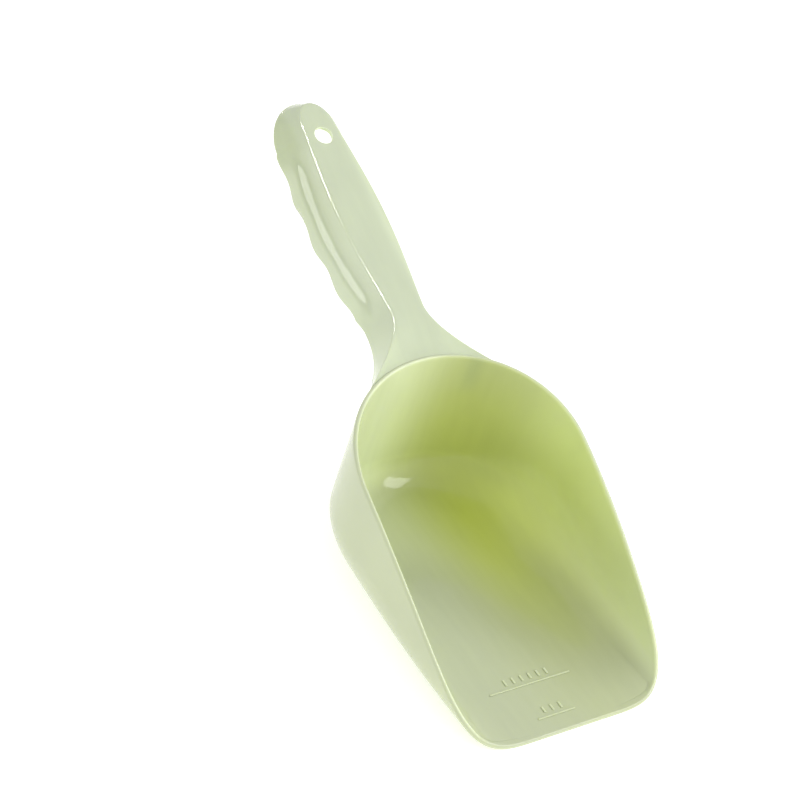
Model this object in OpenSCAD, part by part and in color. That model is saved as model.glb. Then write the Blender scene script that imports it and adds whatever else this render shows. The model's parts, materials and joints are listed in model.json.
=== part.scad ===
// Hand scoop for dry feed: a one-piece moulded bowl with a flared neck and a ribbed channel handle.
// X runs across the scoop, the lip points towards -Y, the handle towards +Y, and the floor lies on Z = 0.

/* [Bowl] */
// Length from the lip to the outside of the back wall
bowl_len = 144; // [130:1:160]
// Greatest outside width
bowl_w = 108.5; // [96:0.5:120]
// Outside width of the walls at the lip
lip_w = 99; // [90:0.5:104]
// Distance from the lip to where the round back starts
round_start = 96; // [85:1:110]
// Wall thickness
wall = 2; // [1.5:0.1:3]
// Height of the rim at the back
rim_h = 68; // [55:1:80]
// Rise of the rim for each millimetre at the lip
rim_slope = 0.705; // [0.55:0.005:0.8]

/* [Bowl rounding] */
// Width of the rounding between floor and side walls
side_round_w = 29.5; // [20:0.5:34]
// Height of the rounding between floor and side walls
side_round_h = 26.5; // [18:0.5:32]
// Radius between the floor and the back wall
back_round = 14; // [8:1:22]
// Squareness of the side rounding at the lip, where 2 is an ellipse
lip_square = 3.6; // [2:0.1:5]
// Distance from the lip over which the rounding turns into an ellipse
square_len = 122; // [60:1:140]

/* [Handle] */
// Angle that the handle rises at
handle_tilt = 18.6; // [10:0.1:25]
// Height at which the line of the handle's top crosses the lip
handle_z = 22.7; // [15:0.1:30]
// Distance along the handle's line to the end of the neck
neck_end = 172; // [166:1:173]
// Distance along the handle's line to the tip
handle_end = 278; // [276:0.5:290]
// Half width of the flat top at its ends
top_half = 8.2; // [6:0.1:10]
// Extra half width of the flat top at the middle of the grip
top_swell = 3.3; // [1:0.1:5]
// How far the skirt stands out past the top on each side
skirt_out = 4.6; // [3:0.1:6]
// Depth of the skirt below the top
skirt_depth = 18.5; // [14:0.5:22]
// Wall thickness of the handle and neck
handle_wall = 1.8; // [1.5:0.1:2.5]

/* [Grip] */
// Distance between the finger notches
grip_pitch = 22; // [20:0.5:25]
// Depth of the finger notches
grip_depth = 1.7; // [0.5:0.1:3]
// Depth of the side groove's shelf below the top
groove_depth = 9.3; // [7:0.1:11]
// Diameter of the hanging hole
hang_d = 8; // [6:0.5:10]

/* [Ribs and marks] */
// Distance between the cross ribs inside the handle
rib_pitch = 23.3; // [20:0.1:23.5]
// Thickness of each cross rib
rib_t = 1.5; // [1:0.1:2]
// Height that the measuring marks stand above the floor
mark_h = 0.4; // [0.3:0.1:0.6]
// Distance from the lip to the half-cup line
half_cup_y = 24.2; // [20:0.1:30]
// Distance from the lip to the line next to it
low_line_y = 7.6; // [6:0.1:10]

/* [Hidden] */

// Steps along the side walls by the lip and behind it, round the back, and from the floor to the rim
lip_steps = 8;
side_steps = 9;
back_steps = 24;
bowl_cols = 18;
// The same for the handle: along the grip, round the tip, and from the middle of the top to the skirt's edge
grip_steps = 22;
tip_steps = 16;
grip_cols = 12;
neck_steps = 10;

bowl_color = "#c3cf92";
handle_color = "#cfdcb4";
rib_color = "#bccb9a";

back_depth = bowl_len - round_start;
rim_bend = (rim_slope - rim_h / bowl_len) / bowl_len;
// Length of the lip's corners, over which the rim leaves the floor
lip_len = 23;

// Places along the handle's line: where its round tip starts, the middle of the grip and how far the swelling
// reaches from it, the first finger notch, the first cross rib and the hanging hole
tip_start = handle_end - 16;
grip_middle = neck_end + 46;
grip_reach = 48;
first_notch = neck_end + 10;
notch_count = 4;
first_rib = neck_end + 8;
hang_pos = handle_end - 21;
// How far past the neck the skirt reaches its full depth, how much it grows by, and how far past the neck the
// first notch does
neck_ease = 12;
neck_rise = 3;
notch_ease = 8;
// The tip: length of its flat top, half width and depth of its skirt, and where the skirt widens and rises
tip_top_len = 12;
tip_skirt_half = 16.7;
tip_depth = 7;
widen_start = tip_start - 19.5;
rise_start = tip_start - 17.5;
// Radius of the crease between the top and the skirt
crease_r = 0.9;
// How much a finger notch draws the skirt in, for each millimetre of its depth
notch_in = 0.3;
// The side groove: length, fade at its ends, and depth of its shelf at the ends
groove_len = tip_start - neck_end - 6;
groove_fade = 12;
groove_end_depth = 5.2;
// The neck's foot, an arch on the back wall: half width, height of its lower end, drop below the rim and
// squareness
foot_half = 36;
foot_low = 54.5;
foot_drop = 0.6;
foot_arch = 7.4;
// How far the neck's curves run straight on from the handle and from the bowl, and how they leave the bowl:
// inwards at the sides, and upwards at the top and at the lower end
neck_lead = 9.5;
foot_lead = 8.2;
foot_in = 1.6;
foot_up_top = 0.3;
foot_up_low = 1.3;
// Depth of the cross ribs as a part of the skirt's depth
rib_depth = 0.8;
// Width of the measuring lines, and size, spacing and distance of the short bars beside them
line_w = 0.7;
bar_w = 1;
bar_len = 3;
bar_pitch = 4;
bar_gap = 2.3;
// The middle and length of each measuring line, and how many bars stand beside it
half_cup_line = [-5.5, 39, 6];
low_line = [-4, 18, 3];
total_len = handle_end * cos(handle_tilt) + tip_depth * sin(handle_tilt);

function mix(a, b, t) = a + (b - a) * t;
function clamp01(t) = min(max(t, 0), 1);
function smooth(t) = clamp01(t) * clamp01(t) * (3 - 2 * clamp01(t));

// ---- A shell between two grids of points, one over the other ----
// Each grid is a list of rows, and each row runs from a point on the spine out to the edge. The first and the
// last `side` + 1 rows pass along the spine, and the rows between them fan out from its end.
function spine_at(i, rows, side) = min(i, side, rows - 1 - i);
function grid_points(g, side) =
    concat([for (i = [0:side]) g[i][0]], [for (row = g) for (j = [1:len(row) - 1]) row[j]]);
function at(i, j, rows, cols, side, base) =
    base + (j == 0 ? spine_at(i, rows, side) : side + 1 + i * cols + j - 1);
function quad(a, b, c, d) = [[a, b, c], [a, c, d]];
function flip(faces) = [for (f = faces) [f[0], f[2], f[1]]];
function proper(faces) = [for (f = faces) if (f[0] != f[1] && f[1] != f[2] && f[2] != f[0]) f];
function sheet_faces(rows, cols, side, base) = [
    for (i = [0:rows - 2])
        for (j = [0:cols - 1])
            for (f = quad(at(i, j, rows, cols, side, base), at(i, j + 1, rows, cols, side, base),
                          at(i + 1, j + 1, rows, cols, side, base), at(i + 1, j, rows, cols, side, base)))
                f
];
function edge_faces(rows, cols, side, base) = [
    for (i = [0:rows - 2])
        for (f = quad(at(i, cols, rows, cols, side, 0), at(i, cols, rows, cols, side, base),
                      at(i + 1, cols, rows, cols, side, base), at(i + 1, cols, rows, cols, side, 0)))
            f
];
function end_faces(i, rows, cols, side, base) = [
    for (j = [0:cols - 1])
        for (f = quad(at(i, j, rows, cols, side, 0), at(i, j, rows, cols, side, base),
                      at(i, j + 1, rows, cols, side, base), at(i, j + 1, rows, cols, side, 0)))
            f
];
module fan_shell(under, over, side) {
    rows = len(under);
    cols = len(under[0]) - 1;
    base = side + 1 + rows * cols;
    faces = concat(
        sheet_faces(rows, cols, side, 0),
        flip(sheet_faces(rows, cols, side, base)),
        edge_faces(rows, cols, side, base),
        end_faces(0, rows, cols, side, base),
        flip(end_faces(rows - 1, rows, cols, side, base)));
    polyhedron(points = concat(grid_points(under, side), grid_points(over, side)), faces = proper(faces));
}

// ---- Bowl ----
function rim_z(y) = rim_slope * y - rim_bend * y * y;
function wall_x(y) = mix(lip_w / 2, bowl_w / 2, 1 - pow(1 - clamp01(y / round_start), 2));
function squareness(y) = mix(lip_square, 2, smooth(y / square_len));

// One cross-section from the middle of the floor to the rim, as distance out and height. The rounding between
// floor and wall is w wide and h high outside; inset is 0 outside and the wall thickness inside.
function section(reach, w, h, n, inset, rim) =
    let (
        flat = reach - w,
        turn = acos(pow(1 - clamp01(rim / h), n / 2)),
        curve_len = turn / 90 * (w + h) * 0.8,
        total = flat + curve_len + max(rim - h, 0)
    )
    [
        for (j = [0:bowl_cols])
            let (
                q = total * j / bowl_cols,
                t = curve_len == 0 ? 0 : turn * clamp01((q - flat) / curve_len)
            )
            q <= flat
                ? [q, inset]
                : [flat + (w - inset) * pow(sin(t), 2 / n),
                   h - (h - inset) * pow(cos(t), 2 / n) + max(q - flat - curve_len, 0)]
    ];
// A row at y along one side wall
function side_row(y, dir, inset) = [
    for (p = section(wall_x(y), side_round_w, side_round_h, squareness(y), inset, rim_z(y)))
        [dir * p[0], y, p[1]]
];
// A row that fans out from the middle of the round back at angle a
function back_row(a, inset) =
    let (
        across = bowl_w / 2 * cos(a),
        along = back_depth * sin(a),
        reach = norm([across, along]),
        back = pow(sin(a), 2),
        w = mix(side_round_w, back_round, back),
        h = mix(side_round_h, back_round, back),
        y = round_start + along
    )
    [
        for (p = section(reach, w, h, squareness(y), inset, rim_z(y)))
            [p[0] * across / reach, round_start + p[0] * along / reach, p[1]]
    ];
side_ys = concat(
    [for (i = [0:lip_steps]) lip_len * (1 - cos(90 * i / lip_steps))],
    [for (i = [1:side_steps]) mix(lip_len, round_start, i / side_steps)]);
side_last = len(side_ys) - 1;
function bowl_grid(inset) = concat(
    [for (i = [0:side_last - 1]) side_row(side_ys[i], 1, inset)],
    [for (i = [0:back_steps]) back_row(180 * i / back_steps, inset)],
    [for (i = [1:side_last]) side_row(side_ys[side_last - i], -1, inset)]);

module bowl_shell() {
    color(bowl_color)
        fan_shell(bowl_grid(0), bowl_grid(wall), side_last);
}

// ---- Handle, drawn along its own line: Y runs along it and Z stands on its top ----
function top_w(s) = top_half + top_swell * pow(cos(90 * clamp01(abs(s - grip_middle) / grip_reach)), 1.2);
function grip_wave(s) =
    (s < first_notch - grip_pitch / 2 || s > first_notch + (notch_count - 0.5) * grip_pitch)
        ? 0
        : 0.5 - 0.5 * cos(360 * (s - first_notch) / grip_pitch);
function skirt_w(s) =
    mix(top_w(s) + skirt_out + grip_wave(s) * notch_in, tip_skirt_half,
        smooth((s - widen_start) / (tip_start - widen_start)));
function skirt_h(s) =
    let (
        grip = skirt_depth - grip_depth * (1 - grip_wave(s)) * smooth((s - neck_end) / notch_ease),
        neck = skirt_depth - neck_rise * (1 - smooth((s - neck_end) / neck_ease))
    )
    mix(min(grip, neck), tip_depth, smooth((s - rise_start) / (handle_end - rise_start)));
// How strongly the side groove shows, from 0 at its rounded ends to 1
function groove(s) =
    smooth((s - neck_end - 1) / groove_fade)
        * (1 - smooth((s - neck_end - groove_len + groove_fade) / groove_fade));
function groove_h(s) =
    mix(groove_end_depth, groove_depth, pow(sin(180 * clamp01((s - neck_end) / groove_len)), 0.7));

// Half of the outside cross-section, as distance out and height below the top
function half_section(w, out, depth, g, gh) =
    let (
        plain = [
            for (t = [0, 0.22, 0.36, 0.48, 0.6, 0.74, 0.88, 1])
                [mix(w, out, t), mix(-crease_r, -depth, t)]
        ],
        stepped = [
            [w, -crease_r],
            [w + 0.1, -gh * 0.5],
            [w + 0.5, -gh + 1.6],
            [w + 1.2, -gh],
            [out - 1.2, -gh - 1.5],
            [out - 0.3, -gh - 2.6],
            [out, -gh - 4.2],
            [out, -depth]
        ]
    )
    concat(
        [[0, 0], [w * 0.4, 0], [w * 0.75, 0], [w - crease_r, -0.05], [w - crease_r * 0.3, -crease_r * 0.35]],
        [for (k = [0:7]) mix(plain[k], stepped[k], g)]);
function section_inside(p, w) =
    p[1] > -crease_r
        ? [p[0] * (w - handle_wall) / w, p[1] - handle_wall]
        : [p[0] - handle_wall, min(p[1], -handle_wall - crease_r)];
function handle_half(s, w, out, depth, inside) =
    let (pts = half_section(w, out, depth, groove(s), groove_h(s)))
    [for (p = pts) inside ? section_inside(p, w) : p];
function grip_row(s, dir, inside) =
    [for (p = handle_half(s, top_w(s), skirt_w(s), skirt_h(s), inside)) [dir * p[0], s, p[1]]];
// A row that fans out round the tip at angle a
function tip_row(a, inside) =
    let (
        w = top_w(tip_start),
        out = skirt_w(tip_start),
        reach = handle_end - tip_start,
        depth = skirt_h(tip_start + reach * sin(a)),
        top_len = norm([w * cos(a), tip_top_len * sin(a)]),
        out_len = norm([out * cos(a), reach * sin(a)])
    )
    [
        for (p = handle_half(tip_start, top_len, out_len, depth, inside))
            let (ang = atan2(mix(tip_top_len / w, reach / out, clamp01(-p[1] / depth)) * sin(a), cos(a)))
            [p[0] * cos(ang), tip_start + p[0] * sin(ang), p[1]]
    ];
function handle_grid(inside) = concat(
    [for (i = [0:grip_steps - 1]) grip_row(mix(neck_end, tip_start, i / grip_steps), 1, inside)],
    [for (i = [0:tip_steps]) tip_row(180 * i / tip_steps, inside)],
    [for (i = [1:grip_steps]) grip_row(mix(tip_start, neck_end, i / grip_steps), -1, inside)]);

module on_handle() {
    translate([0, 0, handle_z]) rotate([handle_tilt, 0, 0]) children();
}
function to_scoop(p) = [
    p[0],
    p[1] * cos(handle_tilt) - p[2] * sin(handle_tilt),
    handle_z + p[1] * sin(handle_tilt) + p[2] * cos(handle_tilt)
];

module handle_shell() {
    color(handle_color)
        on_handle()
            difference() {
                fan_shell(handle_grid(true), handle_grid(false), grip_steps);
                translate([0, hang_pos, -handle_wall - 3])
                    cylinder(d = hang_d, h = handle_wall + 6, $fn = 48);
            }
}

// ---- Neck: a bundle of curves from the end of the handle to the bowl's back wall ----
function wall_y(x) = round_start + back_depth * sqrt(1 - pow(x / (bowl_w / 2), 2));
// Where a point of the half section meets the back wall, from v = 0 at its top to 1 at its lower end
function foot_point(v, inside) =
    let (
        shrink = inside ? handle_wall : 0,
        x = (foot_half - shrink) * pow(sin(90 * v), 2 / foot_arch),
        top = rim_z(wall_y(x)) - foot_drop - shrink
    )
    [x, wall_y(x), mix(foot_low, top, pow(cos(90 * v), 2 / foot_arch))];
function bezier(a, b, c, d, t) =
    a * pow(1 - t, 3) + b * 3 * t * pow(1 - t, 2) + c * 3 * t * t * (1 - t) + d * pow(t, 3);
function neck_curve(p, foot, t) =
    let (
        start = to_scoop([p[0], neck_end, p[1]]),
        lead = [0, -cos(handle_tilt), -sin(handle_tilt)] * neck_lead,
        low = clamp01((rim_h - foot[2]) / (rim_h - foot_low)),
        flare = [-foot_in * foot[0] / foot_half, 1, mix(foot_up_top, foot_up_low, low)] * foot_lead
    )
    bezier(start, start + lead, foot + flare, foot, t);
function neck_row(t, inside) =
    let (
        w = top_w(neck_end),
        out = skirt_w(neck_end),
        depth = skirt_h(neck_end),
        half = half_section(w, out, depth, 0, groove_h(neck_end)),
        last = len(half) - 1,
        side = [
            for (k = [0:last])
                neck_curve(inside ? section_inside(half[k], w) : half[k], foot_point(k / last, inside), t)
        ]
    )
    concat([for (k = [0:last]) side[last - k]], [for (k = [1:last]) [-side[k][0], side[k][1], side[k][2]]]);

// A channel between two grids of the same size, one over the other, closed at both ends and along both edges
module channel(under, over) {
    rows = len(under);
    cols = len(under[0]);
    base = rows * cols;
    function at(i, j, k) = k * base + i * cols + j;
    skin = [
        for (k = [0, 1])
            for (i = [0:rows - 2])
                for (j = [0:cols - 2])
                    for (f = quad(at(i, j, k), at(i, j + 1, k), at(i + 1, j + 1, k), at(i + 1, j, k)))
                        k == 0 ? f : [f[0], f[2], f[1]]
    ];
    ends = [
        for (i = [0, rows - 1])
            for (j = [0:cols - 2])
                for (f = quad(at(i, j, 0), at(i, j, 1), at(i, j + 1, 1), at(i, j + 1, 0)))
                    i == 0 ? f : [f[0], f[2], f[1]]
    ];
    edges = [
        for (j = [0, cols - 1])
            for (i = [0:rows - 2])
                for (f = quad(at(i, j, 0), at(i + 1, j, 0), at(i + 1, j, 1), at(i, j, 1)))
                    j == 0 ? f : [f[0], f[2], f[1]]
    ];
    polyhedron(points = [for (g = [under, over]) for (row = g) for (p = row) p],
               faces = concat(skin, ends, edges));
}
module neck() {
    color(handle_color)
        channel([for (i = [0:neck_steps]) neck_row(i / neck_steps, true)],
                [for (i = [0:neck_steps]) neck_row(i / neck_steps, false)]);
}

// ---- Cross ribs inside the handle ----
function rib_outline(s) =
    let (
        all = handle_half(s, top_w(s), skirt_w(s), skirt_h(s), true),
        low = -skirt_h(s) * rib_depth,
        side = [for (p = all) if (p[1] > low) p],
        last = len(side) - 1
    )
    concat([for (k = [0:last]) side[k]], [[side[last][0], low], [-side[last][0], low]],
           [for (k = [0:last - 1]) [-side[last - k][0], side[last - k][1]]]);
module rib(index) {
    s = first_rib + (index - 1) * rib_pitch;
    color(rib_color)
        on_handle()
            translate([0, s + rib_t / 2, 0])
                rotate([90, 0, 0])
                    linear_extrude(rib_t) polygon(rib_outline(s));
}
module rib_1() { rib(1); }
module rib_2() { rib(2); }
module rib_3() { rib(3); }
module rib_4() { rib(4); }

// ---- Measuring marks on the floor ----
// A raised line at y and a row of short bars behind it. place holds the line's middle, its length and how many
// bars there are.
module measure(y, place) {
    translate([place[0] - place[1] / 2, y, wall])
        cube([place[1], line_w, mark_h]);
    for (k = [0:place[2] - 1])
        translate([place[0] + (k - (place[2] - 1) / 2) * bar_pitch - bar_w / 2, y + bar_gap, wall])
            cube([bar_w, bar_len, mark_h]);
}
module measure_marks() {
    color(handle_color) {
        measure(half_cup_y, half_cup_line);
        measure(low_line_y, low_line);
    }
}

// The frame's origin is on the floor plane, under the middle of the whole scoop
module placed() {
    translate([0, -total_len / 2, 0]) children();
}
placed() bowl_shell();
placed() neck();
placed() handle_shell();
placed() rib_1();
placed() rib_2();
placed() rib_3();
placed() rib_4();
placed() measure_marks();
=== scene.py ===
"""Feed scoop: a one-piece moulded plastic scoop with a deep bowl, a flared neck and a channel handle."""
import json
import math

import bmesh
import bpy
import numpy as np
from mathutils import Matrix, Vector


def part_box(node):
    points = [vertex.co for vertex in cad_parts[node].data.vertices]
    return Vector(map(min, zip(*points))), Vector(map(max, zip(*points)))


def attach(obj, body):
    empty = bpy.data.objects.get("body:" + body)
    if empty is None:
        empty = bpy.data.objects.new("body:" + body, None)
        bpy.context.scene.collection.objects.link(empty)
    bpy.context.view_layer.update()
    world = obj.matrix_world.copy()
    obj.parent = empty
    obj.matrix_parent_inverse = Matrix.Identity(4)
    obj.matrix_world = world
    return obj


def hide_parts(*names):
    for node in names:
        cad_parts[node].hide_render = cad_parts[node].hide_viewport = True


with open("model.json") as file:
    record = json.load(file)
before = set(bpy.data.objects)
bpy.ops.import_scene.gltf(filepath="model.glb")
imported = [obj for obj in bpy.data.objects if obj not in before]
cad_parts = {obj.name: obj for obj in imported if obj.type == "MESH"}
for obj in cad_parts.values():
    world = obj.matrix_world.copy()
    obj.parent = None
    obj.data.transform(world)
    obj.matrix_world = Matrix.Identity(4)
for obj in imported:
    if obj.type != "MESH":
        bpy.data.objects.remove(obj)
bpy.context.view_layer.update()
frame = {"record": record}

# ---- Sizes, in millimetres, with y = 0 at the lip ----
MM = 0.001
bowl_low, bowl_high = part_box("bowl_shell")
mounts = {m["name"]: m for m in frame["record"]["mounts"]}
hole = mounts["hang_hole"]

# The bowl is straight-lipped, and half of an ellipse in plan from ROUND_START to its back
LIP_Y = bowl_low.y
BOWL_LEN = (bowl_high.y - bowl_low.y) / MM
BOWL_HALF = bowl_high.x / MM
RIM_H = bowl_high.z / MM
LIP_HALF = 49.5
ROUND_START = 96.0
WALL = 2.0
# The rim rises at RIM_SLOPE from the lip and bends down to RIM_H at the back
RIM_SLOPE = 0.705
RIM_BEND = (RIM_SLOPE - RIM_H / BOWL_LEN) / BOWL_LEN
# The rounding between floor and wall: its width and height at the sides, its radius at the back, and the
# exponent of its superellipse, which goes from LIP_SQUARE at the lip to ROUND over SQUARE_LEN
SIDE_W, SIDE_H, BACK_R = 29.5, 26.5, 14.0
LIP_SQUARE, ROUND, SQUARE_LEN = 3.6, 2.0, 122.0
# The crease inside, where the floor meets the wall near the lip: how deep it is, how far it spreads from
# its line, and the angles round the section at which it lies, at the lip and from CREASE_TURN_LEN on
CREASE_CUT, CREASE_REACH = 0.55, 3.0
CREASE_LIP_TURN, CREASE_BACK_TURN, CREASE_TURN_LEN = 36.0, 20.0, 45.0
# The inner rounding is wider than the outer one along the rear of the sides, by up to this much
INNER_EXTRA = 8.0
# Rows of the bowl's mesh near the lip, along the sides and round the back, and its columns on the floor,
# up to the crease and up the wall
LIP_LEN, LIP_ROWS, SIDE_ROWS, BACK_ROWS = 22.0, 34, 44, 60
BOWL_COLS = (12, 14, 38)
ARC_STEPS = 160

# The handle's own line: s runs along it from above the lip, x across it, and h stands on its top
TILT = math.atan2(-hole["axis"][1], hole["axis"][2])
HANDLE_WALL = 1.8
NECK_END, TIP_START, HANDLE_END = 172.0, 262.0, 278.0
HANG_S = HANDLE_END - 21
GRIP_MIDDLE, GRIP_REACH = NECK_END + 46, 48.0
TOP_HALF, TOP_SWELL = 8.2, 3.3
SKIRT_OUT, SKIRT_DEPTH = 4.6, 18.5
TIP_TOP_LEN, TIP_SKIRT_HALF, TIP_DEPTH = 12.0, 16.7, 7.0
WIDEN_START, RISE_START = TIP_START - 19.5, TIP_START - 17.5
NOTCH_PITCH, NOTCH_DEPTH, FIRST_NOTCH, NOTCHES = 22.0, 1.7, NECK_END + 10, 4
GROOVE_LEN, GROOVE_DEPTH, GROOVE_END_DEPTH, GROOVE_FADE = 84.0, 9.3, 5.2, 12.0
CREASE_R = 0.9
RIB_FIRST, RIB_PITCH, RIB_T, RIBS = NECK_END + 8, 23.3, 1.5, 4
# The neck's foot on the bowl's back wall: half its width, its lowest height, how far its top lies under
# the rim and the exponent of its arch
FOOT_HALF, FOOT_LOW, FOOT_DROP, FOOT_ARCH = 36.0, 54.5, 0.6, 7.4
# How far the neck heads on from the handle and out from the bowl, how much it leans inwards at the bowl,
# and its rise there at the foot's top and at its low ends
HANDLE_LEAD, FOOT_LEAD, FOOT_IN = 9.5, 8.2, 1.6
FOOT_UP_TOP, FOOT_UP_LOW = 0.3, 1.3
NECK_ROWS, GRIP_ROWS, TIP_ROWS, HANDLE_COLS = 20, 90, 30, 60

# Raised measuring marks: for each line its middle in x, its y, its length and its number of bars
MARK_H, LINE_W, BAR_W, BAR_LEN, BAR_PITCH, BAR_GAP = 0.4, 0.7, 1.0, 3.0, 4.0, 2.3
MEASURES = ((-5.5, 24.2, 39.0, 6), (-4.0, 7.6, 18.0, 3))
RIB_BEVEL, MARK_BEVEL = 0.25, 0.2


def mix(a, b, t):
    return a + (b - a) * t


def smooth(t):
    t = np.clip(t, 0.0, 1.0)
    return t * t * (3 - 2 * t)


def unit(v):
    return v / np.linalg.norm(v, axis=-1, keepdims=True)


def in_frame(points):
    """Millimetres from the lip to metres in the part's frame."""
    return np.asarray(points, float) * MM + np.array([0.0, LIP_Y, 0.0])


# ---- Meshes ----
def mesh_object(name, points, faces, merge=1e-6, inside=None):
    """A smooth mesh. inside marks its points from 0 on the outer skin to 1 on the inner one."""
    mesh = bpy.data.meshes.new(name)
    mesh.from_pydata(in_frame(points).tolist(), [], faces)
    if inside is not None:
        mesh.attributes.new("inside", "FLOAT", "POINT").data.foreach_set("value", np.float32(inside))
    work = bmesh.new()
    work.from_mesh(mesh)
    bmesh.ops.remove_doubles(work, verts=work.verts, dist=merge)
    bmesh.ops.dissolve_degenerate(work, edges=work.edges, dist=merge)
    bmesh.ops.recalc_face_normals(work, faces=work.faces)
    for face in work.faces:
        face.smooth = True
    work.to_mesh(mesh)
    work.free()
    obj = bpy.data.objects.new(name, mesh)
    bpy.context.scene.collection.objects.link(obj)
    return obj


def grid_faces(index):
    a, b, c, d = index[:-1, :-1], index[:-1, 1:], index[1:, 1:], index[1:, :-1]
    return np.stack([a, b, c, d], -1).reshape(-1, 4).tolist()


def thick_sheet(name, outer, inner, edge_steps=8):
    """A closed shell between two grids that fan out from a spine, with a round edge between their
    borders."""
    rows, cols = outer.shape[:2]
    index = np.arange(rows * cols).reshape(rows, cols)
    border = np.concatenate([index[0, :-1], index[:, -1], index[-1, -2::-1]])
    low, high = outer.reshape(-1, 3), inner.reshape(-1, 3)
    across = (high - low)[border] / 2
    middle = (high + low)[border] / 2
    along = np.roll(middle, -1, 0) - np.roll(middle, 1, 0)
    # The border ends where it starts, on the spine
    along[0] = along[-1] = middle[1] - middle[-2]
    radius = np.linalg.norm(across, axis=1, keepdims=True)
    out = unit(np.cross(along, across)) * radius
    from_centre = middle - middle.mean(0)
    out *= np.sign(np.sum(out * from_centre, axis=1, keepdims=True))
    turn = np.linspace(0, math.pi, edge_steps + 1)[1:-1]
    arcs = [middle - across * math.cos(t) + out * math.sin(t) for t in turn]
    points = np.concatenate([low, high] + arcs)
    ring = np.arange(len(border)) + 2 * rows * cols
    strips = [border] + [ring + k * len(border) for k in range(len(turn))] + [border + rows * cols]
    faces = grid_faces(index) + grid_faces(index + rows * cols) + grid_faces(np.stack(strips))
    skins = np.concatenate([np.zeros(len(low)), np.ones(len(high))])
    inside = np.concatenate([skins] + [np.full(len(border), (1 - math.cos(t)) / 2) for t in turn])
    return mesh_object(name, points, faces, inside=inside)


# ---- Bowl ----
def rim_z(y):
    return RIM_SLOPE * y - RIM_BEND * y * y


def rim_rise(y):
    return RIM_SLOPE - 2 * RIM_BEND * y


def lengths(curve):
    """The length of a curve up to each of its points."""
    return np.concatenate([[0], np.cumsum(np.linalg.norm(np.diff(curve, axis=0), axis=1))])


def resample(curve, stops):
    """Points along a curve, and how far each is past stops[1]. BOWL_COLS[0] steps go up to the part
    stops[0] of its length, BOWL_COLS[1] to stops[1], and the rest to its end."""
    length = lengths(curve)
    ends = [0.0, *(length[-1] * k for k in stops), length[-1]]
    want = [np.linspace(a, b, n, endpoint=False) for a, b, n in zip(ends, ends[1:], BOWL_COLS)]
    want = np.append(np.concatenate(want), length[-1])
    return np.column_stack([np.interp(want, length, curve[:, k]) for k in (0, 1)]), want - ends[2]


def section(y, reach, w, h, inset):
    """The bowl's section from the middle of the floor to the rim, as distance out and height, and the
    parts of its length at which its rounding and its crease start."""
    n = mix(LIP_SQUARE, ROUND, smooth(y / SQUARE_LEN))
    flat, edge = reach - w, WALL / 2
    # The section stops short of rim_z by what the round rim takes. That depends on how the wall leans
    # where it stops, so both are found together, in small steps.
    lean = 0.0
    for _ in range(60):
        top = max(rim_z(y) - edge * math.hypot(lean, rim_rise(y)), 0.0)
        turn = math.acos((1 - min(top / h, 1)) ** (n / 2))
        lean = mix(lean, math.sin(turn) ** 0.5, 0.25)
    t = np.linspace(0, 1, ARC_STEPS) ** 1.5 * turn
    out = flat + (w - inset) * np.sin(t) ** (2 / n)
    up = h - (h - inset) * np.cos(t) ** (2 / n)
    curve = np.vstack([[[0.0, inset]], np.column_stack([out, up])])
    if top > h:
        curve = np.vstack([curve, [[out[-1], up[-1] + top - h]]])
    length = lengths(curve)
    crease = math.radians(mix(CREASE_LIP_TURN, CREASE_BACK_TURN, min(y / CREASE_TURN_LEN, 1.0)))
    crease = min(crease, 0.8 * turn)
    crease_len = np.interp(crease, t, length[1:ARC_STEPS + 1]) if turn > 0 else flat
    true_stops = np.array([flat, crease_len]) / length[-1]
    even_stops = np.cumsum(BOWL_COLS)[:2] / sum(BOWL_COLS)
    return curve, mix(even_stops, true_stops, smooth((y - 1) / 4))


def bowl_row(y, reach, w, h, inset, back=0.0):
    """Points of one section of the outer skin, or of the inner one where inset is the wall's
    thickness. back goes from 0 at the sides to 1 at the middle of the back."""
    extra = INNER_EXTRA * smooth((y - 60) / 35) * (1 - back) if inset else 0.0
    curve, stops = section(y, reach, w + extra, h, inset)
    pts, away = resample(curve, stops)
    if inset:
        strength = smooth((y - 2) / 5) * (1 - smooth((y - 20) / 26))
        normal = np.gradient(pts, axis=0)
        normal = unit(np.column_stack([normal[:, 1], -normal[:, 0]]) + 1e-12)
        pts = pts + normal * (CREASE_CUT * strength * np.exp(-np.abs(away) / CREASE_REACH))[:, None]
    return pts


def bowl_grid(inset):
    rows = []
    # The rows start inside the lip's round edge and are closest there
    first = WALL / 2
    lip = first + LIP_LEN * (1 - np.cos(np.linspace(0, math.pi / 2, LIP_ROWS)))
    for y in np.concatenate([lip, np.linspace(first + LIP_LEN, ROUND_START, SIDE_ROWS)[1:]]):
        reach = mix(LIP_HALF, BOWL_HALF, 1 - (1 - min(y / ROUND_START, 1)) ** 2)
        out, up = bowl_row(y, reach, SIDE_W, SIDE_H, inset).T
        rows.append(np.column_stack([out, np.full(len(out), y), up]))
    for a in np.linspace(0, math.pi / 2, BACK_ROWS)[1:]:
        across, along = BOWL_HALF * math.cos(a), (BOWL_LEN - ROUND_START) * math.sin(a)
        reach, back = math.hypot(across, along), math.sin(a) ** 2
        w, h = mix(SIDE_W, BACK_R, back), mix(SIDE_H, BACK_R, back)
        out, up = bowl_row(ROUND_START + along, reach, w, h, inset, back).T
        rows.append(np.column_stack([out * across / reach, ROUND_START + out * along / reach, up]))
    half = np.array(rows)
    half[-1, :, 0] = 0
    return np.concatenate([half, half[-2::-1] * [-1, 1, 1]])


# ---- Handle and neck ----
def hole_middle():
    """The middle of the hanging hole, in millimetres from the lip."""
    return np.array(hole["pos_m"]) / MM - [0, LIP_Y / MM, 0]


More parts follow.
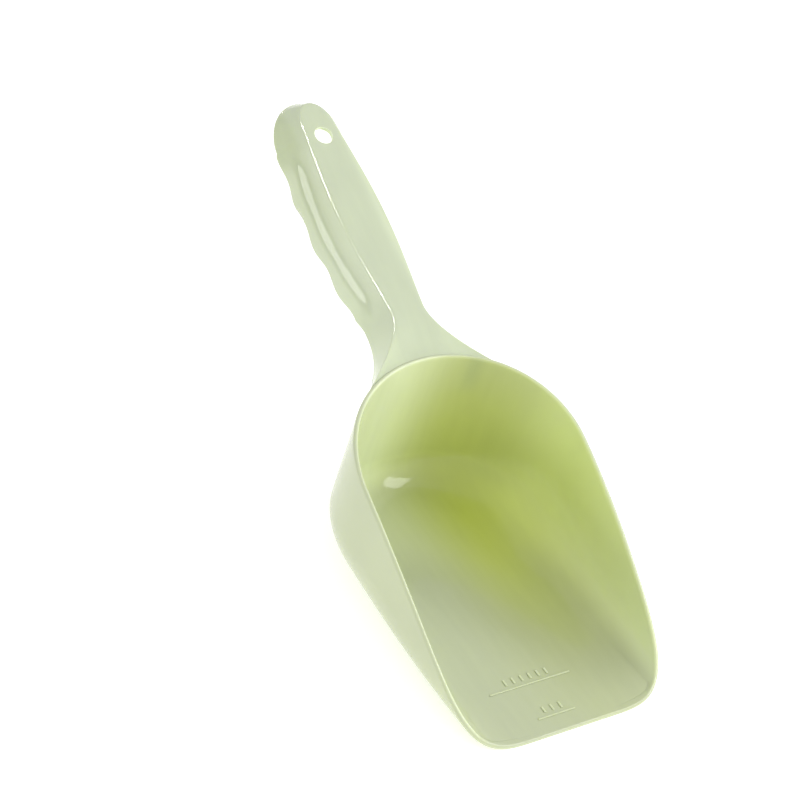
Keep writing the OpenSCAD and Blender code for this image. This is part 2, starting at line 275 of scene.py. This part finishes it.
def to_scoop(s, x, h):
    """A point of the handle, along its line, across it and above its top, in the bowl's frame."""
    along = np.array([0, math.cos(TILT), math.sin(TILT)])
    up = np.array([0, -math.sin(TILT), math.cos(TILT)])
    start = hole_middle() + up * HANDLE_WALL / 2 - along * HANG_S
    s, x, h = np.broadcast_arrays(s, x, h)
    return start + s[..., None] * along + h[..., None] * up + x[..., None] * np.array([1.0, 0, 0])


def top_w(s):
    """Half the width of the top plate."""
    from_middle = np.clip(abs(s - GRIP_MIDDLE) / GRIP_REACH, 0, 1)
    return TOP_HALF + TOP_SWELL * np.cos(math.pi / 2 * from_middle) ** 1.2


def grip_wave(s):
    """0 in the middle of a finger notch and 1 between two."""
    wave = 0.5 - 0.5 * math.cos(2 * math.pi * (s - FIRST_NOTCH) / NOTCH_PITCH)
    inside = FIRST_NOTCH - NOTCH_PITCH / 2 < s < FIRST_NOTCH + (NOTCHES - 0.5) * NOTCH_PITCH
    return wave if inside else 0.0


def skirt_w(s):
    """Half the width over the skirts' lower edges."""
    plain = top_w(s) + SKIRT_OUT + grip_wave(s) * 0.3
    return mix(plain, TIP_SKIRT_HALF, smooth((s - WIDEN_START) / (TIP_START - WIDEN_START)))


def skirt_h(s):
    """How far the skirts hang below the top."""
    grip = SKIRT_DEPTH - NOTCH_DEPTH * (1 - grip_wave(s)) * smooth((s - NECK_END) / 8)
    neck = SKIRT_DEPTH - 3 * (1 - smooth((s - NECK_END) / 12))
    return mix(min(grip, neck), TIP_DEPTH, smooth((s - RISE_START) / (HANDLE_END - RISE_START)))


def groove(s):
    """1 where the groove in the skirt is full, fading to 0 at its ends."""
    end = NECK_END + GROOVE_LEN
    return smooth((s - NECK_END - 1) / GROOVE_FADE) * (1 - smooth((s - end + GROOVE_FADE) / GROOVE_FADE))


def groove_h(s):
    """How far the groove's floor lies below the top."""
    swell = math.sin(math.pi * min(max((s - NECK_END) / GROOVE_LEN, 0), 1)) ** 0.7
    return mix(GROOVE_END_DEPTH, GROOVE_DEPTH, swell)


def half_section(w, out, depth, g, shelf):
    """Control points of half of the handle's section, from the middle of the top to the skirt's lower
    edge. g goes from 0 for a plain skirt to 1 for one with the groove, whose floor lies shelf below
    the top."""
    e = CREASE_R
    steps = (0, 0.22, 0.36, 0.48, 0.6, 0.74, 0.88, 1)
    plain = np.array([[mix(w, out, t), mix(-e, -depth, t)] for t in steps])
    stepped = np.array([
        [w, -e],
        [w + 0.1, -shelf * 0.5],
        [w + 0.5, -shelf + 1.6],
        [w + 1.2, -shelf],
        [out - 1.2, -shelf - 1.5],
        [out - 0.3, -shelf - 2.6],
        [out, -shelf - 4.2],
        [out, -depth],
    ])
    top = [[0, 0.0], [w * 0.4, 0.0], [w * 0.75, 0.0], [w - e, -0.05], [w - e * 0.3, -e * 0.35]]
    return np.concatenate([top, mix(plain, stepped, g)])


def inside_of(pts, w):
    """The same control points on the inner face."""
    x, h = pts[:, 0], pts[:, 1]
    on_top = h > -CREASE_R
    inner_x = np.where(on_top, x * (w - HANDLE_WALL) / w, x - HANDLE_WALL)
    inner_h = np.where(on_top, h - HANDLE_WALL, np.minimum(h, -HANDLE_WALL - CREASE_R))
    return np.column_stack([inner_x, inner_h])


def spline_weights(count, samples):
    """Weights of a clamped quadratic B-spline over count control points."""
    knots = np.concatenate([[0, 0], np.linspace(0, 1, count - 1), [1, 1]])
    t = np.linspace(0, 1, samples)
    basis = [((knots[k] <= t) & (t < knots[k + 1])).astype(float) for k in range(len(knots) - 1)]
    basis[count - 1][-1] = 1.0
    for degree in (1, 2):
        higher = []
        for k in range(len(basis) - 1):
            left, right = knots[k + degree] - knots[k], knots[k + degree + 1] - knots[k + 1]
            value = np.zeros_like(t)
            if left > 0:
                value += (t - knots[k]) / left * basis[k]
            if right > 0:
                value += (knots[k + degree + 1] - t) / right * basis[k + 1]
            higher.append(value)
        basis = higher
    return np.stack(basis, 1)


def foot_point(v, inside):
    """Where the neck's skin meets the outside of the back wall, from its top to its lower end."""
    shrink = HANDLE_WALL if inside else 0.0
    x = (FOOT_HALF - shrink) * math.sin(v * math.pi / 2) ** (2 / FOOT_ARCH)
    y = ROUND_START + (BOWL_LEN - ROUND_START) * math.sqrt(1 - (x / BOWL_HALF) ** 2)
    top = rim_z(y) - FOOT_DROP - shrink
    z = mix(FOOT_LOW, top, max(math.cos(v * math.pi / 2), 0.0) ** (2 / FOOT_ARCH))
    return np.array([x, y, z])


def neck_controls(t, inside):
    """Control points of the neck's half section, from the handle at t = 0 to the bowl at t = 1."""
    w, out, depth = top_w(NECK_END), skirt_w(NECK_END), skirt_h(NECK_END)
    half = half_section(w, out, depth, 0.0, groove_h(NECK_END))
    half = inside_of(half, w) if inside else half
    run = np.array([0, -math.cos(TILT), -math.sin(TILT)]) * HANDLE_LEAD
    row = []
    for k, (x, h) in enumerate(half):
        start, foot = to_scoop(NECK_END, x, h), foot_point(k / (len(half) - 1), inside)
        low = np.clip((RIM_H - foot[2]) / (RIM_H - FOOT_LOW), 0, 1)
        flare = np.array([-FOOT_IN * foot[0] / FOOT_HALF, 1.0, mix(FOOT_UP_TOP, FOOT_UP_LOW, low)])
        flare *= FOOT_LEAD
        a, b, c, d = start, start + run, foot + flare, foot
        row.append(a * (1 - t) ** 3 + b * 3 * t * (1 - t) ** 2 + c * 3 * t * t * (1 - t) + d * t ** 3)
    return np.array(row)


def grip_controls(s, inside):
    w = top_w(s)
    half = half_section(w, skirt_w(s), skirt_h(s), groove(s), groove_h(s))
    half = inside_of(half, w) if inside else half
    return to_scoop(np.full(len(half), s), half[:, 0], half[:, 1])


def tip_controls(a, inside):
    """A half section that fans out round the tip at angle a."""
    w, out, reach = top_w(TIP_START), skirt_w(TIP_START), HANDLE_END - TIP_START
    depth = skirt_h(TIP_START + reach * math.sin(a))
    top_len = math.hypot(w * math.cos(a), TIP_TOP_LEN * math.sin(a))
    out_len = math.hypot(out * math.cos(a), reach * math.sin(a))
    half = half_section(top_len, out_len, depth, groove(TIP_START), groove_h(TIP_START))
    turn = mix(TIP_TOP_LEN / w, reach / out, np.clip(-half[:, 1] / depth, 0, 1))
    turn = np.arctan2(turn * math.sin(a), math.cos(a))
    half = inside_of(half, top_len) if inside else half
    return to_scoop(TIP_START + half[:, 0] * np.sin(turn), half[:, 0] * np.cos(turn), half[:, 1])


def handle_grid(inside):
    rows = [neck_controls(t, inside) for t in np.linspace(1, 0, NECK_ROWS, endpoint=False)]
    rows += [grip_controls(s, inside) for s in np.linspace(NECK_END, TIP_START, GRIP_ROWS, endpoint=False)]
    rows += [tip_controls(a, inside) for a in np.linspace(0, math.pi / 2, TIP_ROWS)]
    weights = spline_weights(len(rows[0]), HANDLE_COLS)
    half = np.einsum("ck,rkx->rcx", weights, np.array(rows))
    half[:, 0, 0] = 0
    half[-1, :, 0] = 0
    return np.concatenate([half, half[-2::-1] * [-1, 1, 1]])


def keep_result(obj):
    """Applies an object's modifiers to its mesh."""
    graph = bpy.context.evaluated_depsgraph_get()
    mesh = bpy.data.meshes.new_from_object(obj.evaluated_get(graph), depsgraph=graph)
    obj.modifiers.clear()
    obj.data = mesh
    return obj


def round_edges(obj, radius):
    soften = obj.modifiers.new("round_edges", "BEVEL")
    soften.width, soften.segments, soften.limit_method = radius * MM, 3, "ANGLE"
    soften.angle_limit = math.radians(60)
    soften.harden_normals = True
    return keep_result(obj)


def hole_cutter(round_edge=0.3, past=3.0, steps=6):
    """A pin with flared shoulders, which cuts a hole with rounded edges."""
    r = hole["dims"]["r_mm"]
    turn = np.linspace(0, math.pi / 2, steps)
    upper = [(r + round_edge * (1 - math.cos(t)), round_edge * (math.sin(t) - 1)) for t in turn]
    lower = [(x, -HANDLE_WALL - h) for x, h in upper]
    profile = [(0.0, past), (r + round_edge, past)] + upper[::-1]
    profile += lower + [(r + round_edge, -HANDLE_WALL - past), (0.0, -HANDLE_WALL - past)]
    x, h = np.array(profile).T
    spin = np.linspace(0, 2 * math.pi, 65)
    grid = np.array([to_scoop(HANG_S + x * math.sin(a), x * math.cos(a), h) for a in spin])
    index = np.arange(grid.shape[0] * grid.shape[1]).reshape(grid.shape[:2])
    return mesh_object("hole_cutter", grid.reshape(-1, 3), grid_faces(index))


def add_handle():
    obj = thick_sheet("handle", handle_grid(False), handle_grid(True))
    cutter = hole_cutter()
    cut = obj.modifiers.new("hanging_hole", "BOOLEAN")
    cut.operation, cut.solver, cut.object = "DIFFERENCE", "EXACT", cutter
    keep_result(obj)
    bpy.data.objects.remove(cutter)
    return obj


def add_rib(index, into_wall=0.3):
    """A cross rib that fills the channel's section down to most of its depth."""
    s = RIB_FIRST + index * RIB_PITCH
    w = top_w(s)
    half = inside_of(half_section(w, skirt_w(s), skirt_h(s), groove(s), groove_h(s)), w)
    half = spline_weights(len(half), 40) @ half
    low = -0.8 * skirt_h(s)
    side = half[half[:, 1] > low]
    side = np.vstack([side, [side[-1][0], low]])
    side[:, 0] += into_wall * (side[:, 0] > 0)
    side[:, 1] += into_wall * (side[:, 0] < w - HANDLE_WALL)
    outline = np.vstack([side, side[:0:-1] * [-1, 1]])
    n = len(outline)
    points = [to_scoop(s + k * RIB_T / 2, outline[:, 0], outline[:, 1]) for k in (-1, 1)]
    ring = np.arange(n)
    faces = np.column_stack([ring, np.roll(ring, -1), np.roll(ring, -1) + n, ring + n]).tolist()
    faces += [ring.tolist(), (ring[::-1] + n).tolist()]
    return round_edges(mesh_object(f"cross_rib_{index + 1}", np.concatenate(points), faces), RIB_BEVEL)


def add_marks():
    """The raised lines and their bars: boxes of a given corner, length and depth, as one mesh."""
    bars = []
    for x, y, length, count in MEASURES:
        bars.append((x - length / 2, y, length, LINE_W))
        for k in range(count):
            bars.append((x + (k - (count - 1) / 2) * BAR_PITCH - BAR_W / 2, y + BAR_GAP, BAR_W, BAR_LEN))
    points, faces = [], []
    for x, y, length, depth in bars:
        n = len(points)
        for z in (WALL, WALL + MARK_H):
            points += [(x, y, z), (x + length, y, z), (x + length, y + depth, z), (x, y + depth, z)]
        faces += [[n, n + 3, n + 2, n + 1], [n + 4, n + 5, n + 6, n + 7]]
        faces += [[n + k, n + (k + 1) % 4, n + 4 + (k + 1) % 4, n + 4 + k] for k in range(4)]
    return round_edges(mesh_object("measuring_marks", points, faces), MARK_BEVEL)


# ---- Materials ----
# Linear colours: of a wall seen alone, the painted colour of one where light has crossed several walls,
# the painted shade of what lies behind, and of a speck
BOWL_PALE, BOWL_DEEP = (0.56, 0.61, 0.42), (0.43, 0.49, 0.05)
HANDLE_PALE, HANDLE_DEEP = (0.615, 0.68, 0.49), (0.42, 0.50, 0.16)
MARKS_DEEP = (0.47, 0.57, 0.02)
PAINTED_SHADE, SPECK = (0.30, 0.36, 0.20), (0.10, 0.12, 0.05)
# How plastic scatters light: its share, its length in metres, and how far red, green and blue go
SCATTER, SCATTER_LEN, SCATTER_REACH = 0.25, 0.0015, (1.0, 1.0, 0.5)
PLASTIC_IOR = 1.49
PAPER_WHITE = (0.96, 0.96, 0.96, 1)


class Nodes:
    """Adds shader nodes to a material and links them."""

    def __init__(self, material):
        material.use_nodes = True
        self.tree = material.node_tree
        self.shader = self.tree.nodes["Principled BSDF"]

    def add(self, kind, inputs=(), **settings):
        node = self.tree.nodes.new("ShaderNode" + kind)
        for key, value in settings.items():
            setattr(node, key, value)
        for key, value in dict(inputs).items():
            self.put(node.inputs[key], value)
        return node

    def put(self, socket, value):
        if isinstance(value, bpy.types.NodeSocket):
            self.tree.links.new(value, socket)
        else:
            socket.default_value = value

    def math(self, operation, a, b=0.0, clamp=False):
        return self.add("Math", {0: a, 1: b}, operation=operation, use_clamp=clamp).outputs[0]

    def blend(self, factor, a, b, mode="MIX"):
        node = self.add("Mix", data_type="RGBA", blend_type=mode)
        for key, value in (("Factor", factor), ("A", a), ("B", b)):
            self.put(node.inputs[key], value)
        return node.outputs["Result"]

    def remap(self, value, low, high, to_low, to_high):
        inputs = {"Value": value, "From Min": low, "From Max": high, "To Min": to_low, "To Max": to_high}
        return self.add("MapRange", inputs).outputs["Result"]


def clear_plastic(name, pale, deep):
    """Translucent moulded plastic, with light and shade painted into its colour. Values painted on its
    points say where its colour deepens because light has crossed several walls, is painted brighter as
    if light came through, and is painted grey as the shade of something that lies behind."""
    material = bpy.data.materials.new(name)
    n = Nodes(material)
    where = n.add("TexCoord").outputs["Object"]
    cloud = n.add("TexNoise", {"Vector": where, "Scale": 28.0, "Detail": 3.0}).outputs["Fac"]
    drawn = n.add("Mapping", {"Vector": where, "Scale": (260.0, 40.0, 40.0)}).outputs["Vector"]
    flow = n.add("TexNoise", {"Vector": drawn, "Scale": 1.0, "Detail": 2.0}).outputs["Fac"]
    depth = n.add("Attribute", attribute_name="depth").outputs["Fac"]
    depth = n.math("ADD", depth, n.remap(cloud, 0.3, 0.7, -0.03, 0.03), clamp=True)
    colour = n.blend(depth, (*pale, 1), (*deep, 1))
    colour = n.blend(n.add("Attribute", attribute_name="shade").outputs["Fac"], colour, (*PAINTED_SHADE, 1))
    light = n.math("MULTIPLY", *(n.remap(noise, 0.3, 0.7, 0.985, 1.015) for noise in (flow, cloud)))
    # Painted light and shade: the colour is made lighter or darker by a value painted on the points
    light = n.math("MULTIPLY", light, n.add("Attribute", attribute_name="painted_light").outputs["Fac"])
    light = n.add("CombineColor", {k: light for k in range(3)}).outputs[0]
    colour = n.blend(1.0, colour, light, "MULTIPLY")
    # One cell in ten holds a speck in its middle
    cells = n.add("TexVoronoi", {"Vector": where, "Scale": 70.0})
    rare = n.math("GREATER_THAN", n.add("SeparateColor", {0: cells.outputs["Color"]}).outputs[0], 0.9)
    speck = n.math("MULTIPLY", rare, n.remap(cells.outputs["Distance"], 0.02, 0.035, 0.55, 0.0))
    n.put(n.shader.inputs["Base Color"], n.blend(speck, colour, (*SPECK, 1)))

    fine = {"Vector": drawn, "Scale": 9.0, "Detail": 6.0, "Roughness": 0.7}
    scuffs = n.add("TexNoise", fine).outputs["Fac"]
    dull = n.math("ADD", n.remap(cloud, 0.3, 0.7, 0.09, 0.13), n.remap(scuffs, 0.55, 0.75, 0.0, 0.12))
    n.put(n.shader.inputs["Roughness"], dull)
    ripple = n.add("TexNoise", {"Vector": where, "Scale": 130.0, "Detail": 2.0}).outputs["Fac"]
    height = n.math("ADD", ripple, n.math("MULTIPLY", scuffs, 0.08))
    bump = n.add("Bump", {"Height": height, "Strength": 0.2, "Distance": 0.0001})
    n.put(n.shader.inputs["Normal"], bump.outputs["Normal"])
    n.shader.inputs["IOR"].default_value = PLASTIC_IOR
    n.shader.inputs["Subsurface Weight"].default_value = SCATTER
    n.shader.inputs["Subsurface Scale"].default_value = SCATTER_LEN
    n.shader.inputs["Subsurface Radius"].default_value = SCATTER_REACH
    return material


def paint(obj, name, values):
    layer = obj.data.attributes.new(name, "FLOAT", "POINT")
    layer.data.foreach_set("value", np.asarray(values, np.float32))


def points_of(obj):
    """An object's points in millimetres from the lip, and how far each is inside, from 0 to 1."""
    flat, inside = np.empty(3 * len(obj.data.vertices)), np.empty(len(obj.data.vertices))
    obj.data.vertices.foreach_get("co", flat)
    obj.data.attributes["inside"].data.foreach_get("value", inside)
    x, y, z = ((flat.reshape(-1, 3) - [0, LIP_Y, 0]) / MM).T
    return x, y, z, inside


def hill(distance, reach):
    """1 at no distance, falling to near 0 past twice the reach."""
    return np.exp(-(distance / reach) ** 2)


def paint_bowl(obj):
    x, y, z, inside = points_of(obj)
    wall, back = smooth((z - 1) / 8), smooth((y - 105) / 25)
    # Painted shade: light reaches the corner behind the middle of the floor only through several walls,
    # so its colour is painted deeper towards it
    away = np.sqrt(((x - 23) * np.where(x < 23, 3.0, 1.8)) ** 2 + (y - 110) ** 2 + (z - 11) ** 2)
    depth = mix(0.05, 1.0, 0.84 * hill(away, 82))
    # Painted light and shade: a painted shadow of the right wall on a band that slants over the floor,
    # painted shade from the neck on the back wall, painted light at the right edge, a painted highlight
    # along the line where the back's rounding meets the wall, and painted light round the deep corner
    from_band = (x - 38) * 0.757 + (y - 20) * 0.651
    band = hill(from_band, 18) * smooth((y + 5) / 30) * (1 - smooth((y - 85) / 40))
    neck = 0.26 * smooth((x + 10) / 30) * back
    edge = 0.16 * smooth((z - 22) / 25) * smooth((x - 25) / 20)
    ring = 0.05 * hill(z - BACK_R, 1.3) * smooth((y - 108) / 16)
    painted_light = mix(0.96 - 0.17 * band, 1.36 - neck + edge, wall) + ring + 0.18 * hill(away, 35)
    # Painted shade where the neck's skirts lie behind the back wall and show through it
    skirt = hill(abs(x) - 22, 3.5) * smooth((y - 120) / 10) * smooth((z - 44) / 14)
    # The inner skin takes the painted light and shade above, the outer skin's colour is a little deeper
    # towards the lip, and the round rim between them is painted lighter as a painted highlight
    inner = smooth(2 * inside - 1)
    paint(obj, "depth", mix(0.04 + 0.05 * smooth((90 - y) / 60), depth, inner))
    paint(obj, "painted_light", mix(1.04, painted_light, inner) + 0.3 * inside * (1 - inside))
    paint(obj, "shade", inner * skirt * np.where(x > 0, 0.3, 0.08))


def paint_handle(obj):
    x, y, z, inside = points_of(obj)
    # Painted light: the wall of the hanging hole is painted bright, as if lit through the plastic round it
    from_hole = np.column_stack([x, y, z]) - hole_middle()
    off_axis = np.linalg.norm(np.cross(from_hole, unit(np.array(hole["axis"], float))), axis=1)
    wall = off_axis < hole["dims"]["r_mm"] + 0.2
    # Painted shade: the skirts' outer faces are painted deeper towards the tip, and the inside of the
    # channel deeper still
    skirt = smooth((abs(x) - 9) / 3)
    tip = smooth((y - 190) / 40)
    side = mix(skirt * mix(0.06, 0.18, tip), 0.35, inside)
    paint(obj, "depth", np.where(wall, 0.0, side))
    # Painted light along the top's right edge, and on the skirts away from the tip
    edge = 0.12 * hill(x - 9.5, 2.5) * smooth((y - 155) / 25)
    paint(obj, "painted_light", np.where(wall, 1.4, 1 + edge + 0.05 * skirt * (1 - tip)))


# The same painted colour depth and painted light over a whole piece
def paint_plain(obj, depth, painted_light):
    paint(obj, "depth", np.full(len(obj.data.vertices), depth))
    paint(obj, "painted_light", np.full(len(obj.data.vertices), painted_light))


def dress(obj, material, slot, *nodes):
    obj.data.materials.clear()
    obj.data.materials.append(material)
    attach(obj, "root")
    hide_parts(*nodes)


# ---- Stage, in metres ----
FLOOR_REACH, FLOOR_GLOW, SKY_GLOW = 6.0, 0.42, 0.8


def add_floor():
    mesh = bpy.data.meshes.new("floor")
    corners = [(a * FLOOR_REACH, b * FLOOR_REACH, 0) for a, b in ((-1, -1), (1, -1), (1, 1), (-1, 1))]
    mesh.from_pydata(corners, [], [(0, 1, 2, 3)])
    obj = bpy.data.objects.new("floor", mesh)
    bpy.context.scene.collection.objects.link(obj)
    material = bpy.data.materials.new("floor_paper")
    n = Nodes(material)
    where = n.add("TexCoord").outputs["Object"]
    grain = n.add("TexNoise", {"Vector": where, "Scale": 900.0}).outputs["Fac"]
    n.put(n.shader.inputs["Roughness"], n.remap(grain, 0.3, 0.7, 0.85, 0.95))
    n.shader.inputs["Base Color"].default_value = PAPER_WHITE
    n.shader.inputs["Specular IOR Level"].default_value = 0.0
    n.shader.inputs["Emission Color"].default_value = (1, 1, 1, 1)
    n.shader.inputs["Emission Strength"].default_value = FLOOR_GLOW
    mesh.materials.append(material)


def direction(azimuth, elevation):
    """A unit vector: azimuth is 0 towards the lip's side and grows towards +X, both in degrees."""
    a, e = math.radians(azimuth), math.radians(elevation)
    return np.array([math.sin(a) * math.cos(e), -math.cos(a) * math.cos(e), math.sin(e)])


def place(obj, right, up, back, position):
    """Puts a light or a camera at a position, with these axes. It looks away from back."""
    matrix = Matrix.Identity(4)
    for k, axis in enumerate((right, up, back)):
        for row in range(3):
            matrix[row][k] = axis[row]
    matrix.translation = Vector(position)
    obj.matrix_world = matrix
    bpy.context.scene.collection.objects.link(obj)


def add_area(name, azimuth, elevation, size, power, only=None, distance=1.1, aim_z=0.03):
    """A softbox that faces the scoop. With only, it shows on that piece alone, as its reflection.
    Without, it lights everything but has no reflection."""
    light = bpy.data.lights.new(name, "AREA")
    light.shape, light.size, light.size_y = "RECTANGLE", size[0], size[1]
    light.energy = power
    obj = bpy.data.objects.new(name, light)
    back = direction(azimuth, elevation)
    side = unit(np.cross([0, 0, 1], back))
    place(obj, side, np.cross(back, side), back, np.array([0, 0, aim_z]) + back * distance)
    if only:
        lit = bpy.data.collections.new(name + "_lights")
        lit.objects.link(only)
        obj.light_linking.receiver_collection = lit
        obj.visible_diffuse = False
    else:
        obj.visible_glossy = False


def turned(a, b, angle):
    """Two axes turned in their own plane, a towards b."""
    return math.cos(angle) * a + math.sin(angle) * b, math.cos(angle) * b - math.sin(angle) * a


def add_camera():
    """A camera that stands back from a point above the floor and is then rolled, panned and tilted, in
    radians."""
    distance, lens = 0.8874, 101.73
    roll, pan, tilt = 0.394, 0.04703, 0.07562
    aim = np.array([0.0, LIP_Y + 0.0618, 0.02575])
    back = direction(-49.56, 41.88)
    right = unit(np.cross(-back, [0, 0, 1]))
    up = np.cross(right, -back)
    right, up = turned(right, up, roll)
    right, ahead = turned(right, -back, pan)
    ahead, up = turned(ahead, up, tilt)
    data = bpy.data.cameras.new("camera")
    data.sensor_width, data.lens = 36.0, lens
    camera = bpy.data.objects.new("camera", data)
    place(camera, right, up, -ahead, aim + back * distance)
    bpy.context.scene.camera = camera


def light_studio(bowl, handle):
    world = bpy.data.worlds.new("studio")
    world.use_nodes = True
    sky = world.node_tree.nodes["Background"].inputs
    sky["Color"].default_value = (1, 1, 1, 1)
    sky["Strength"].default_value = SKY_GLOW
    bpy.context.scene.world = world
    bpy.context.scene.view_settings.view_transform = "Standard"
    add_area("front_fill", 50, 35, (0.6, 0.45), 4.5)
    add_area("bowl_window", 60, 42, (0.65, 0.7), 6, only=bowl)
    add_area("handle_window", -105, 55, (0.55, 0.4), 3.4, only=handle)
    add_area("handle_glint", -146, 73, (0.2, 0.08), 9, only=handle)
    add_area("neck_glint", -95, 70, (0.04, 0.08), 4, only=handle)


# ---- Scoop ----
add_camera()
add_floor()

bowl = thick_sheet("bowl", bowl_grid(0.0), bowl_grid(WALL))
handle = add_handle()
ribs = [add_rib(k) for k in range(RIBS)]
marks = add_marks()

bowl_plastic = clear_plastic("moulded_bowl", BOWL_PALE, BOWL_DEEP)
handle_plastic = clear_plastic("moulded_handle", HANDLE_PALE, HANDLE_DEEP)
marks_plastic = clear_plastic("moulded_marks", BOWL_PALE, MARKS_DEEP)
paint_bowl(bowl)
paint_handle(handle)
# Painted shade on the ribs inside the channel, and painted light on the marks
for rib in ribs:
    paint_plain(rib, 0.35, 0.9)
paint_plain(marks, 0.1, 1.2)
dress(bowl, bowl_plastic, "bowl_plastic", "bowl_shell")
dress(handle, handle_plastic, "handle_plastic", "handle_shell", "neck")
for k, rib in enumerate(ribs):
    dress(rib, handle_plastic, "handle_plastic", f"rib_{k + 1}")
dress(marks, marks_plastic, "bowl_plastic", "measure_marks")
light_studio(bowl, handle)
